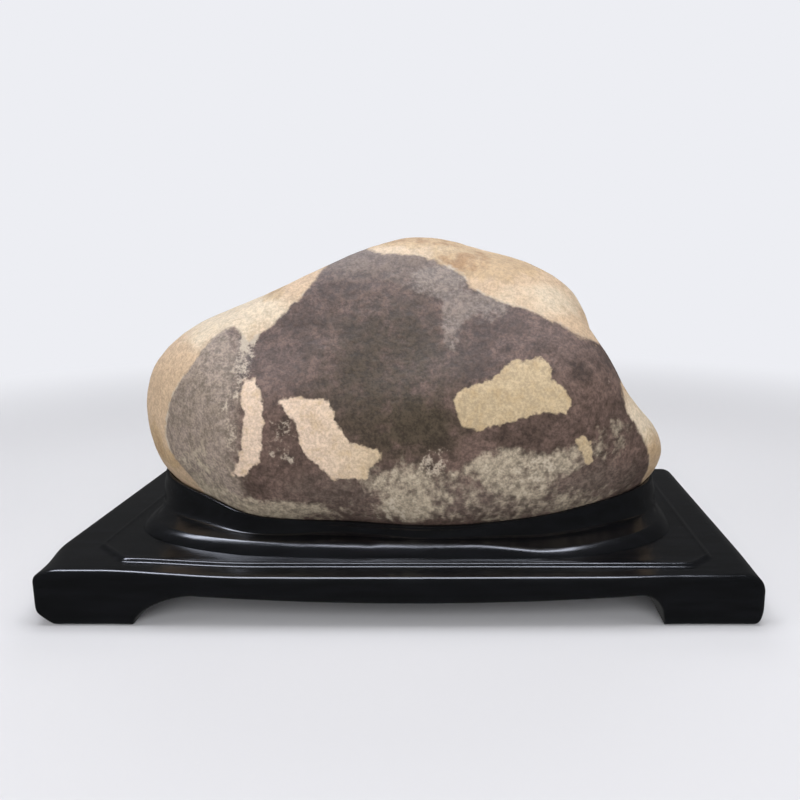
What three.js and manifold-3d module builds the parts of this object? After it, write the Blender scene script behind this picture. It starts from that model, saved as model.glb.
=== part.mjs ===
// A river-worn viewing stone of purple claystone with cream patches, resting in the seat carved for it
// on a low black-lacquered wooden stand. Two separate things: the stone, and the stand cut from one board.
// Millimetres. +X runs along the stand to the right, +Y to the back, +Z up. The origin is the middle of
// the stand's footprint, on the surface that it stands on.

import * as THREE from "three";
import { mergeVertices } from "three/addons/utils/BufferGeometryUtils.js";
import Module from "manifold-3d";

const wasm = await Module();
wasm.setup();

const { cos, sin, abs, exp, hypot, max, min, sqrt, atan2 } = Math;
const radians = THREE.MathUtils.degToRad;
const smooth = THREE.MathUtils.smoothstep;
const mix = THREE.MathUtils.lerp;

// The stone.

const HEART = new THREE.Vector3(0, 0, 140); // the point that every worn face is measured from
const FACE_SHARPNESS = 16; // how crisply two worn faces meet
const REST_HEIGHT = 38.5; // the small flat spot that the stone rests on

// The worn faces: the way each looks, in degrees from +X towards +Y, its lift above level, and how far
// it lies from the heart.
const WORN_FACES = {
  leftEnd: { facing: 180, lift: -12, distance: 208 },
  leftShoulder: { facing: 180, lift: 39, distance: 160 },
  upperLeftSlope: { facing: 180, lift: 66.5, distance: 107 },
  crown: { facing: -60, lift: 86, distance: 121 },
  upperRightSlope: { facing: 5, lift: 72, distance: 122 },
  rightFlank: { facing: -12, lift: 33, distance: 147 },
  rightLobe: { facing: 15, lift: 32, distance: 142 },
  rightEnd: { facing: 0, lift: -16, distance: 220 },
  lowerRight: { facing: 0, lift: -42, distance: 218 },
  lowerLeft: { facing: 180, lift: -44, distance: 184 },
  bottom: { facing: 0, lift: -90, distance: 104 },
  frontUpper: { facing: -92, lift: 33, distance: 85 },
  frontBelly: { facing: -90, lift: -4, distance: 97 },
  frontLower: { facing: -90, lift: -43, distance: 114 },
  frontLeft: { facing: -124, lift: 0, distance: 140 },
  frontRight: { facing: -58, lift: 2, distance: 140 },
  frontLeftLower: { facing: -132, lift: -38, distance: 152 },
  frontRightLower: { facing: -48, lift: -38, distance: 152 },
  frontLeftUpper: { facing: -125, lift: 42, distance: 128 },
  frontRightUpper: { facing: -55, lift: 45, distance: 122 },
  backUpper: { facing: 88, lift: 42, distance: 98 },
  backBelly: { facing: 90, lift: -5, distance: 96 },
  backLower: { facing: 90, lift: -42, distance: 118 },
  backLeft: { facing: 126, lift: 2, distance: 142 },
  backRight: { facing: 55, lift: -2, distance: 142 },
  backLeftLower: { facing: 132, lift: -38, distance: 152 },
  backRightLower: { facing: 48, lift: -38, distance: 152 },
};

// Swellings and hollows: where they are, how far they reach and how high they stand.
const SWELLS = {
  rightToe: { at: [160, -45, 62], reach: 45, rise: 8 },
  rightLobe: { at: [202, 15, 82], reach: 34, rise: 6 },
  saddleOverLobe: { at: [166, -4, 150], reach: 30, rise: -18 },
  rightShoulder: { at: [130, 0, 210], reach: 30, rise: 8 },
  leftFoot: { at: [-192, 10, 72], reach: 40, rise: 8 },
  leftRise: { at: [-92, 20, 214], reach: 40, rise: 3 },
  faceHollow: { at: [48, -70, 190], reach: 46, rise: -4 },
};

// Slow undulations of the worn surface: length, heading in degrees, climb in degrees, height and phase.
const UNDULATIONS = [
  { length: 150, heading: 20, climb: 10, height: 1.6, phase: 40 },
  { length: 118, heading: 75, climb: 35, height: 1.3, phase: 200 },
  { length: 96, heading: -40, climb: 60, height: 1.1, phase: 110 },
  { length: 71, heading: 10, climb: -50, height: 0.8, phase: 300 },
  { length: 58, heading: 120, climb: 20, height: 0.6, phase: 15 },
];

const STONE_BOX = new THREE.Vector3(410, 190, 220); // the block that the stone's grid is laid out on
const STONE_CELLS = [28, 14, 15]; // cells along the block's sides

// The stand.

const STAND_LENGTH = 490;
const STAND_DEPTH = 252; // at the feet
const BOARD_TOP = 35; // height of the board's flat top
const ARRIS = 4; // roundness of the board's long edges
const BOW = 3.2; // how far its front and back stand out in the middle
const RAIL_END = 190; // where the bowed edges meet the feet
const CORNER_LIFT = { height: 4, from: -95, to: -195 }; // the front left corner stands a little high

// The feet: where the inner side is, and how far the rail's underside sweeps down to it.
const LEFT_FOOT = { inner: -175, sweep: 41, squareness: 1.5 };
const RIGHT_FOOT = { inner: 178, sweep: 18, squareness: 2.2 };
const UNDERSIDE = { lowest: 16, at: 13, rise: 4.7, over: 147 }; // the rail's lower edge sags between the feet

// The rolled ends: roundness of the top edge and of its front corner, then run, rise and squareness of the
// bottom edge, and run and inset of the front corner seen from above.
const LEFT_END = { above: 9, aboveFront: 24, below: { run: 18, rise: 17, squareness: 1.2 }, corner: { run: 45, inset: 9 } };
const RIGHT_END = { above: 12, aboveFront: 14, below: { run: 7, rise: 15, squareness: 2 }, corner: { run: 8, inset: 6 } };
const BACK_CORNER = { run: 7, inset: 7 };
const FRONT_ZONE = { from: -70, to: -122 }; // where the front corners' own roundness sets in

// The raised panel on the board: a low step with clipped corners.
const PANEL_TOP = 37;
const PANEL = { left: -213, right: 217, front: -112, back: 112, clipLeft: 28, clipRight: 17, bevel: 4 };

// The crest of the seat's carved ridge, seen from above: reach to the left and right, half depth, squareness.
const RIDGE = { left: 194.5, right: 198.5, depth: 95, squareness: 3.2 };
const RIDGE_RUN = 6; // from the crest out to the toe on the panel
const RIDGE_HEIGHT = 44;
const RIDGE_DIP = { facing: -40, spread: 15, out: 7, down: 2.5 }; // the crest runs low at the front right
const RIM_WIDTH = 3.2; // the rim's rounded top, outwards from the stone
const RIM_WALL = 2; // how far the wall under it leans out
const RIM_MIDDLE = { height: 53.5, band: 3.2 }; // at the middle of the front and back
const RIM_LEFT = { height: 73, band: 12 };
const RIM_RIGHT = { height: 67, band: 11 };
const RIM_CLIMB = 6; // how late the rim starts to climb towards the ends
const SEAT_GAP = 0.5; // between the stone and the wood round it
const SEAT_RAYS = 60;

// A superellipse's radius along a plan angle.
function superellipse(angle, { left, right, depth, squareness }) {
  const along = (abs(cos(angle)) / (cos(angle) < 0 ? left : right)) ** squareness;
  const across = (abs(sin(angle)) / depth) ** squareness;
  return (along + across) ** (-1 / squareness);
}

function unitVector(facing, lift) {
  const a = radians(facing);
  const e = radians(lift);
  return new THREE.Vector3(cos(e) * cos(a), cos(e) * sin(a), sin(e));
}

const facePlanes = Object.values(WORN_FACES).map((face) => ({
  normal: unitVector(face.facing, face.lift),
  distance: face.distance,
}));

const waves = UNDULATIONS.map((wave) => ({
  ...wave,
  step: unitVector(wave.heading, wave.climb).multiplyScalar((2 * Math.PI) / wave.length),
}));

// How far the stone's surface lies from its heart in a direction: a soft polyhedron of the worn faces,
// raised by the swells and the undulations there.
function stoneReach(direction) {
  let sum = 0;
  for (const { normal, distance } of facePlanes)
    sum += max(direction.dot(normal) / distance, 0) ** FACE_SHARPNESS;
  const worn = sum ** (-1 / FACE_SHARPNESS);
  const point = direction.clone().multiplyScalar(worn).add(HEART);
  let rise = 0;
  for (const swell of Object.values(SWELLS)) {
    const away = hypot(point.x - swell.at[0], point.y - swell.at[1], point.z - swell.at[2]);
    rise += swell.rise * exp(-((away / swell.reach) ** 2));
  }
  for (const wave of waves) rise += wave.height * sin(point.dot(wave.step) + radians(wave.phase));
  return worn + rise;
}

// The stone's plan radius along an angle at a height, found by halving the climb from the heart.
function stoneSection(angle, height) {
  let low = -Math.PI / 2;
  let high = Math.PI / 2;
  for (let i = 0; i < 30; i++) {
    const climb = (low + high) / 2;
    const d = new THREE.Vector3(cos(climb) * cos(angle), cos(climb) * sin(angle), sin(climb));
    if (HEART.z + stoneReach(d) * d.z < height) low = climb;
    else high = climb;
  }
  const d = new THREE.Vector3(cos(low) * cos(angle), cos(low) * sin(angle), sin(low));
  return stoneReach(d) * cos(low);
}

// A closed geometry with one vertex wherever faces meet.
function welded(geometry) {
  geometry.deleteAttribute("normal");
  geometry.deleteAttribute("uv");
  return mergeVertices(geometry, 1e-3);
}

// The stone, or the stone grown by an even skin, to cut its seat with.
function stoneGeometry(skin) {
  const { x, y, z } = STONE_BOX;
  const geometry = welded(new THREE.BoxGeometry(x, y, z, ...STONE_CELLS));
  const places = geometry.attributes.position;
  const direction = new THREE.Vector3();
  for (let i = 0; i < places.count; i++) {
    direction.fromBufferAttribute(places, i).normalize();
    const surface = direction.clone().multiplyScalar(stoneReach(direction) + skin).add(HEART);
    surface.z = max(surface.z, REST_HEIGHT - skin);
    places.setXYZ(i, surface.x, surface.y, surface.z);
  }
  return geometry;
}

// Distances from 0 to a roundness, set closer where the curve is steeper.
function curveSteps(roundness, steps) {
  return Array.from({ length: steps + 1 }, (_, i) => roundness * (1 - cos((i / steps) * (Math.PI / 2))));
}

// Where the board's sections stand along X: close together round the rolled ends and the arch's sweeps.
function boardStations() {
  const half = STAND_LENGTH / 2;
  const sweep = (foot, side) =>
    curveSteps(foot.sweep, 6).map((d) => foot.inner - side * (foot.sweep - d));
  const rail = Array.from({ length: 15 }, (_, i) =>
    mix(LEFT_FOOT.inner + LEFT_FOOT.sweep, RIGHT_FOOT.inner - RIGHT_FOOT.sweep, (i + 1) / 16),
  );
  const stations = [
    ...curveSteps(LEFT_END.aboveFront, 7).map((d) => -half + d),
    -RAIL_END - 8,
    -RAIL_END,
    LEFT_FOOT.inner - 0.2,
    ...sweep(LEFT_FOOT, -1),
    ...rail,
    ...sweep(RIGHT_FOOT, 1),
    RIGHT_FOOT.inner + 0.2,
    RAIL_END,
    ...curveSteps(RIGHT_END.above, 6).map((d) => half - d),
  ];
  return stations.sort((a, b) => a - b);
}

// How far a rounded corner has eaten into one side, at a distance from the other side's edge. A
// squareness of 2 is an ellipse and 1 a straight chamfer.
function cornerInset(distance, run, inset, squareness = 2) {
  const share = 1 - min(distance / run, 1);
  return inset * (1 - (1 - share ** squareness) ** (1 / squareness));
}

// Height of the board's underside: the feet, and between them the arch with a swept curve at each foot.
function undersideHeight(x) {
  if (x <= LEFT_FOOT.inner || x >= RIGHT_FOOT.inner) return 0;
  const foot = x < 0 ? LEFT_FOOT : RIGHT_FOOT;
  const share = 1 - min(abs(x - foot.inner) / foot.sweep, 1);
  const rail = UNDERSIDE.lowest + UNDERSIDE.rise * ((x - UNDERSIDE.at) / UNDERSIDE.over) ** 2;
  return rail * (1 - share ** foot.squareness) ** (1 / foot.squareness);
}

// The board's section at a station: its underside, its front and back, and its height a little way in
// from them.
function boardSection(x) {
  const end = x < 0 ? LEFT_END : RIGHT_END;
  const distance = STAND_LENGTH / 2 - abs(x);
  const out = STAND_DEPTH / 2 + BOW * bow(x);
  return {
    bottom: undersideHeight(x) + cornerInset(distance, end.below.run, end.below.rise, end.below.squareness),
    front: -out + cornerInset(distance, end.corner.inset, end.corner.run),
    back: out - cornerInset(distance, BACK_CORNER.inset, BACK_CORNER.run),
  };
}

// How far out the bowed edges stand, from 0 at the feet to 1 in the middle.
function bow(x) {
  const share = min(abs(x) / RAIL_END, 1);
  return 0.4 * smooth(1 - share, 0, 0.22) + 0.6 * (1 - share * share);
}

// Height of the board's top at a place on it, rounded off at the ends.
function boardTop(x, y) {
  const end = x < 0 ? LEFT_END : RIGHT_END;
  const roundness = mix(end.above, end.aboveFront, smooth(-y, -FRONT_ZONE.from, -FRONT_ZONE.to));
  return BOARD_TOP - cornerInset(STAND_LENGTH / 2 - abs(x), roundness, min(roundness, 17));
}

// How much higher the top lies than its nominal level: the front left corner stands a little high.
function topLift(x, y) {
  const along = smooth(-x, -CORNER_LIFT.from, -CORNER_LIFT.to);
  return CORNER_LIFT.height * along * (0.5 - y / STAND_DEPTH);
}

// The board: a section with rounded corners carried along X, and set at each station to the height and
// depth there.
function boardGeometry() {
  const stations = boardStations();
  const section = new THREE.Shape();
  const half = STAND_DEPTH / 2 - ARRIS;
  section.absarc(half, ARRIS, ARRIS, -Math.PI / 2, 0, false);
  section.absarc(half, BOARD_TOP - ARRIS, ARRIS, 0, Math.PI / 2, false);
  section.lineTo(FRONT_ZONE.from, BOARD_TOP);
  section.lineTo(mix(FRONT_ZONE.from, FRONT_ZONE.to, 0.5), BOARD_TOP);
  section.absarc(-half, BOARD_TOP - ARRIS, ARRIS, Math.PI / 2, Math.PI, false);
  section.absarc(-half, ARRIS, ARRIS, Math.PI, 1.5 * Math.PI, false);
  const geometry = new THREE.ExtrudeGeometry(section, {
    depth: stations.length - 1,
    steps: stations.length - 1,
    curveSegments: 3,
    bevelEnabled: false,
  });
  const board = welded(geometry);
  const places = board.attributes.position;
  for (let i = 0; i < places.count; i++) {
    const across = places.getX(i);
    const up = places.getY(i);
    const x = stations[Math.round(places.getZ(i))];
    const { bottom, front, back } = boardSection(x);
    const y = across < 0 ? front + (STAND_DEPTH / 2 + across) : back - (STAND_DEPTH / 2 - across);
    const top = boardTop(x, y);
    const rounding = min(1, (top - bottom) / (2 * ARRIS));
    const raised = top - (BOARD_TOP - up) * rounding + topLift(x, y);
    places.setXYZ(i, x, y, up < BOARD_TOP / 2 ? bottom + up * rounding : raised);
  }
  return board;
}

// The panel's plan radius along an angle: the nearest of its sides and clipped corners.
function panelReach(angle, inset) {
  const { left, right, front, back, clipLeft, clipRight } = PANEL;
  const slant = Math.SQRT1_2;
  const sides = [
    [1, 0, right],
    [-1, 0, -left],
    [0, -1, -front],
    [0, 1, back],
    [slant, -slant, (right - front - clipRight) * slant],
    [-slant, -slant, (-left - front - clipLeft) * slant],
    [slant, slant, (right + back - clipRight) * slant],
    [-slant, slant, (-left + back - clipLeft) * slant],
  ];
  let reach = Infinity;
  for (const [nx, ny, distance] of sides) {
    const towards = nx * cos(angle) + ny * sin(angle);
    if (towards > 1e-6) reach = min(reach, (distance - inset) / towards);
  }
  return reach;
}

// The rim's height and the depth of its outer band along an angle: low at the front and back, and
// climbing the stone at both ends.
function rimAt(angle) {
  const end = cos(angle) < 0 ? RIM_LEFT : RIM_RIGHT;
  const share = abs(cos(angle)) ** RIM_CLIMB;
  return {
    height: mix(RIM_MIDDLE.height, end.height, share),
    band: mix(RIM_MIDDLE.band, end.band, share),
  };
}

// The seat and the panel as one solid: a turned profile whose rings are moved out to the carved lines.
// What lies low follows the board's raised corner.
function seatGeometry() {
  const rings = seatRings();
  const profile = rings.map((ring, i) => new THREE.Vector2(i === 0 || i === rings.length - 1 ? 0 : 1, i));
  const geometry = new THREE.LatheGeometry(profile, SEAT_RAYS);
  const places = geometry.attributes.position;
  for (let i = 0; i < places.count; i++) {
    const ray = Math.floor(i / profile.length) % SEAT_RAYS;
    const ring = rings[i % profile.length];
    const turn = (2 * Math.PI * ray) / SEAT_RAYS;
    const angle = atan2(sin(turn) * RIDGE.depth, cos(turn) * RIDGE.right);
    const { reach, height } = ring(angle);
    const x = reach * cos(angle);
    const y = reach * sin(angle);
    const low = 1 - smooth(height, PANEL_TOP, RIM_MIDDLE.height);
    places.setXYZ(i, x, y, height + topLift(x, y) * low);
  }
  return welded(geometry);
}

// The seat's rings, from the middle of its underside out to the panel's edge, then in over the ridge and
// the rim to the middle of its top. Each gives a plan radius and a height along an angle.
function seatRings() {
  const buried = BOARD_TOP - 4;
  const stoneEdge = (angle) => stoneSection(angle, rimAt(angle).height);
  const between = (from, to, share, dip) => (angle) => {
    const a = from(angle);
    const b = to(angle);
    return { reach: mix(a.reach, b.reach, share), height: mix(a.height, b.height, share) - dip * (a.height - b.height) };
  };
  const rimTop = (angle) => ({ reach: stoneEdge(angle) + 0.4 * RIM_WIDTH, height: rimAt(angle).height });
  const rimShoulder = (angle) => ({ reach: stoneEdge(angle) + RIM_WIDTH, height: rimAt(angle).height - 1 });
  const rimLine = (angle) => ({
    reach: stoneEdge(angle) + RIM_WIDTH + RIM_WALL,
    height: rimAt(angle).height - rimAt(angle).band,
  });
  const ridge = (angle) => {
    const away = (atan2(sin(angle), cos(angle)) - radians(RIDGE_DIP.facing)) / radians(RIDGE_DIP.spread);
    const dip = exp(-away * away);
    return {
      reach: superellipse(angle, RIDGE) + RIDGE_DIP.out * dip,
      height: RIDGE_HEIGHT - RIDGE_DIP.down * dip,
    };
  };
  const toe = (angle) => ({ reach: ridge(angle).reach + RIDGE_RUN, height: PANEL_TOP });
  return [
    () => ({ reach: 0, height: buried }),
    (angle) => ({ reach: panelReach(angle, 0), height: buried }),
    (angle) => ({ reach: panelReach(angle, 0), height: BOARD_TOP }),
    (angle) => ({ reach: panelReach(angle, PANEL.bevel), height: PANEL_TOP }),
    toe,
    between(ridge, toe, 0.78, -0.22),
    between(ridge, toe, 0.4, -0.28),
    ridge,
    between(rimLine, ridge, 0.75, 0.18),
    between(rimLine, ridge, 0.35, 0.3),
    rimLine,
    rimShoulder,
    rimTop,
    (angle) => ({ reach: stoneEdge(angle) - 4, height: rimAt(angle).height - 2 }),
    () => ({ reach: 0, height: RIM_MIDDLE.height - 2 }),
  ];
}

function solidOf(geometry) {
  const mesh = new wasm.Mesh({
    numProp: 3,
    vertProperties: geometry.attributes.position.array,
    triVerts: new Uint32Array(geometry.index.array),
  });
  return new wasm.Manifold(mesh);
}

function geometryOf(solid) {
  const mesh = solid.getMesh();
  return new THREE.BufferGeometry()
    .setAttribute("position", new THREE.BufferAttribute(mesh.vertProperties, 3))
    .setIndex(new THREE.BufferAttribute(mesh.triVerts, 1));
}

function standGeometry() {
  const carved = solidOf(boardGeometry()).add(solidOf(seatGeometry()));
  return geometryOf(carved.subtract(solidOf(stoneGeometry(SEAT_GAP))));
}

const claystone = new THREE.MeshStandardMaterial({ color: "#6d5c57", roughness: 0.85, metalness: 0 });
const blackLacquer = new THREE.MeshStandardMaterial({ color: "#0d0e10", roughness: 0.3, metalness: 0 });

const stone = new THREE.Mesh(stoneGeometry(0), claystone);
stone.name = "stone";

const stand = new THREE.Mesh(standGeometry(), blackLacquer);
stand.name = "stand";

const viewingStone = new THREE.Group();
viewingStone.add(stone, stand);

export default viewingStone;
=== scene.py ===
"""The looks of a river-worn viewing stone on its black-lacquered wooden stand.

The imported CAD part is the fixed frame. The stone and the stand are worked out again here as finer
surfaces, from the same real sizes, and each takes the place of its CAD node. Sizes are in millimetres
in the part's own frame: +X runs along the stand to the right, +Y to the back and +Z up, with the origin
in the middle of the stand's footprint. They become metres when a mesh is made.
"""

import logging
import math
from dataclasses import dataclass
from enum import Enum

import bpy
import numpy as np
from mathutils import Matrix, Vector

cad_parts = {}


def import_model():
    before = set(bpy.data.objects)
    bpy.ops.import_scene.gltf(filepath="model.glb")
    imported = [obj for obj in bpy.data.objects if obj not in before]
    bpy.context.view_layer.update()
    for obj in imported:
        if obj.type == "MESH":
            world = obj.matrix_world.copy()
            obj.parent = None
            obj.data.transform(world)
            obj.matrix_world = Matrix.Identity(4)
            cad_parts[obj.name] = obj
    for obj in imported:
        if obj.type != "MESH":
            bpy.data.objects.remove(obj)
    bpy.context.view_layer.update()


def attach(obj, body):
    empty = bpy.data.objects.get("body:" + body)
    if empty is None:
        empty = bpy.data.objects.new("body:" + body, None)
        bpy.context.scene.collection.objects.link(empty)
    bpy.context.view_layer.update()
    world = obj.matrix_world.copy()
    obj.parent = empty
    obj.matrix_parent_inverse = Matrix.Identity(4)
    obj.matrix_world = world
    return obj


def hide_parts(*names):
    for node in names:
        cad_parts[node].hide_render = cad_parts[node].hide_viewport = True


LOG = logging.getLogger("viewing_stone")
METRES = 0.001
WELD_DISTANCE = 2e-6

Array = np.ndarray
Colour = tuple[float, float, float, float]
Place = tuple[float, float, float]
Socket = bpy.types.NodeSocket
Paint = str | bpy.types.NodeSocket


# Plain arithmetic on whole arrays


def smooth_step(value: Array, low: float, high: float) -> Array:
    """Climbs from 0 at low to 1 at high as 3t²-2t³."""
    share = np.clip((value - low) / (high - low), 0, 1)
    return share * share * (3 - 2 * share)


def mix(start: Array, end: Array, share: Array) -> Array:
    """Goes straight from start to end as share goes from 0 to 1."""
    return start + (end - start) * share


def corner_inset(distance: Array, run: Array, inset: Array, squareness: float = 2.0) -> Array:
    """How far a rounded corner has eaten into one side, at a distance from the other side's edge.

    Formula: inset times 1 - (1 - s^k)^(1/k), where s is the share of the run still to go and k the
    squareness: 2 is an ellipse and 1 a straight chamfer.

    Args:
        distance: distance from the other side's edge.
        run: how far from that edge the rounding reaches.
        inset: how deep it cuts at the edge itself.
        squareness: the power of the superellipse.

    Returns:
        The depth cut away at each distance.
    """
    share = 1 - np.clip(distance / run, 0, 1)
    return inset * (1 - (1 - share**squareness) ** (1 / squareness))


def superellipse(angle: Array, left: float, right: float, depth: float, squareness: float) -> Array:
    """A superellipse's radius along plan angles.

    Formula: (|cos/a|^k + |sin/b|^k)^(-1/k), where a is the reach to the left or to the right, b the
    half depth and k the squareness.

    Args:
        angle: plan angles in radians.
        left: its reach along -X.
        right: its reach along +X.
        depth: its half depth along Y.
        squareness: the power.

    Returns:
        One radius for each angle.
    """
    along = (np.abs(np.cos(angle)) / np.where(np.cos(angle) < 0, left, right)) ** squareness
    across = (np.abs(np.sin(angle)) / depth) ** squareness
    return (along + across) ** (-1 / squareness)


def unit_vectors(facing: Array, lift: Array) -> Array:
    """Unit vectors from two angles in degrees.

    Args:
        facing: degrees from +X towards +Y.
        lift: degrees above level.

    Returns:
        The vectors, along a new last axis.
    """
    turn = np.radians(facing)
    climb = np.radians(lift)
    return np.stack([np.cos(climb) * np.cos(turn), np.cos(climb) * np.sin(turn), np.sin(climb)], axis=-1)


def lattice_noise(places: Array, size: float, seed: int) -> Array:
    """Smooth noise from -1 to 1 over space.

    Formula: seeded random values stand at the corners of cubes of the given size, and are blended
    along each axis by 3t²-2t³ of the way across the cube.

    Args:
        places: an (n, 3) array of points in mm.
        size: the side of the cubes in mm, so about half the length of a swell.
        seed: which set of random values is used.

    Returns:
        One value for each point.
    """
    lattice = 32
    corners = np.random.default_rng(seed).uniform(-1, 1, (lattice, lattice, lattice))
    cell = np.floor(places / size).astype(int)
    share = places / size - cell
    blend = share * share * (3 - 2 * share)
    total = np.zeros(len(places))
    for corner in np.ndindex(2, 2, 2):
        weight = np.prod(np.where(corner, blend, 1 - blend), axis=1)
        at = (cell + corner) % lattice
        total += weight * corners[at[:, 0], at[:, 1], at[:, 2]]
    return total


def eased_steps(length: float, count: int) -> Array:
    """Distances from 0 to length, set closer together near 0 by 1 - cos."""
    return length * (1 - np.cos(np.linspace(0, np.pi / 2, count + 1)))


# Meshes


class Carving(Enum):
    """The two ways in which one closed form works on another."""

    JOIN = "UNION"
    CUT = "DIFFERENCE"


def mesh_object(name: str, places: Array, faces: list[list[int]]) -> bpy.types.Object:
    """Makes a mesh object at the origin, with its place in its mesh.

    Args:
        name: the piece's name.
        places: an (n, 3) array of points in mm.
        faces: the points of each face, turning left as seen from outside.

    Returns:
        The new object, linked to the scene.
    """
    mesh = bpy.data.meshes.new(name)
    mesh.from_pydata(places * METRES, [], faces)
    mesh.validate()
    piece = bpy.data.objects.new(name, mesh)
    bpy.context.scene.collection.objects.link(piece)
    return piece


def apply_modifiers(piece: bpy.types.Object) -> None:
    """Makes the modified shape the piece's own mesh and clears its modifiers.

    Args:
        piece: the object to finish.
    """
    evaluated = piece.evaluated_get(bpy.context.evaluated_depsgraph_get())
    finished = bpy.data.meshes.new_from_object(evaluated)
    piece.modifiers.clear()
    piece.data = finished


def carve(piece: bpy.types.Object, tool: bpy.types.Object, way: Carving) -> None:
    """Joins the tool's form to the piece or cuts it out, welds double points, and removes the tool.

    Args:
        piece: the object that is worked on.
        tool: the closed form that works on it.
        way: whether the tool is joined or cut out.
    """
    modifier = piece.modifiers.new(way.name.lower(), "BOOLEAN")
    modifier.operation = way.value
    modifier.solver = "MANIFOLD"
    modifier.object = tool
    weld = piece.modifiers.new("weld", "WELD")
    weld.merge_threshold = WELD_DISTANCE
    apply_modifiers(piece)
    bpy.data.objects.remove(tool)


def shade(piece: bpy.types.Object, crease_degrees: float) -> None:
    """Shades a piece smooth, apart from edges that turn by more than the crease angle."""
    piece.data.shade_smooth()
    piece.data.set_sharp_from_angle(angle=math.radians(crease_degrees))


def sheet_faces(rows: int, columns: int, closed: bool) -> Array:
    """The quads of a grid of points.

    Args:
        rows: how many rows of points there are.
        columns: how many points a row has.
        closed: whether the last point of a row is joined to its first.

    Returns:
        An (n, 4) array of point numbers.
    """
    row = np.arange(rows - 1)[:, None]
    column = np.arange(columns if closed else columns - 1)[None, :]
    after = (column + 1) % columns
    corners = np.broadcast_arrays(
        row * columns + column,
        row * columns + after,
        (row + 1) * columns + after,
        (row + 1) * columns + column,
    )
    return np.stack(corners, axis=-1).reshape(-1, 4)


# Materials


def linear_colour(hex_colour: str) -> Colour:
    """Turns an sRGB hex colour into a linear one.

    Args:
        hex_colour: a colour such as '#6d5c57'.

    Returns:
        Linear red, green, blue and 1.
    """
    parts = [int(hex_colour[i : i + 2], 16) / 255 for i in (1, 3, 5)]
    linear = [p / 12.92 if p <= 0.04045 else ((p + 0.055) / 1.055) ** 2.4 for p in parts]
    return (linear[0], linear[1], linear[2], 1.0)


def add_node(
    tree: bpy.types.NodeTree, kind: str, inputs: dict[str | int, object] | None = None, **settings: object
) -> bpy.types.Node:
    """Adds a node, sets its properties, and fills its inputs.

    Args:
        tree: the material's node tree.
        kind: the node's type without its 'ShaderNode' start.
        inputs: a value, or a socket to link from, for each input name or number.
        settings: the node's own properties.

    Returns:
        The new node.
    """
    node = tree.nodes.new("ShaderNode" + kind)
    for name, value in settings.items():
        setattr(node, name, value)
    for name, value in (inputs or {}).items():
        if isinstance(value, bpy.types.NodeSocket):
            tree.links.new(value, node.inputs[name])
        else:
            node.inputs[name].default_value = value
    return node


@dataclass(frozen=True)
class Grain:
    """Noise over object coordinates, by the length of its swells in mm and how fine and rough it is."""

    length: float
    detail: float = 3.0
    roughness: float = 0.55
    # A factor for each axis, below 1 where the noise is drawn out along it.
    stretch: Place = (1.0, 1.0, 1.0)


@dataclass(frozen=True)
class Spread:
    """Where a layer lies: a weighted sum of patterns, from none of it at low to the most at high."""

    weights: dict[str, float]
    shift: float
    low: float
    high: float
    most: float = 1.0
    # A pattern that the result is also multiplied by.
    within: str = ""


@dataclass(frozen=True)
class Emboss:
    """How strongly a relief bends the light, from 0 to 1, and how high it stands in mm."""

    strength: float
    height: float


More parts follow.
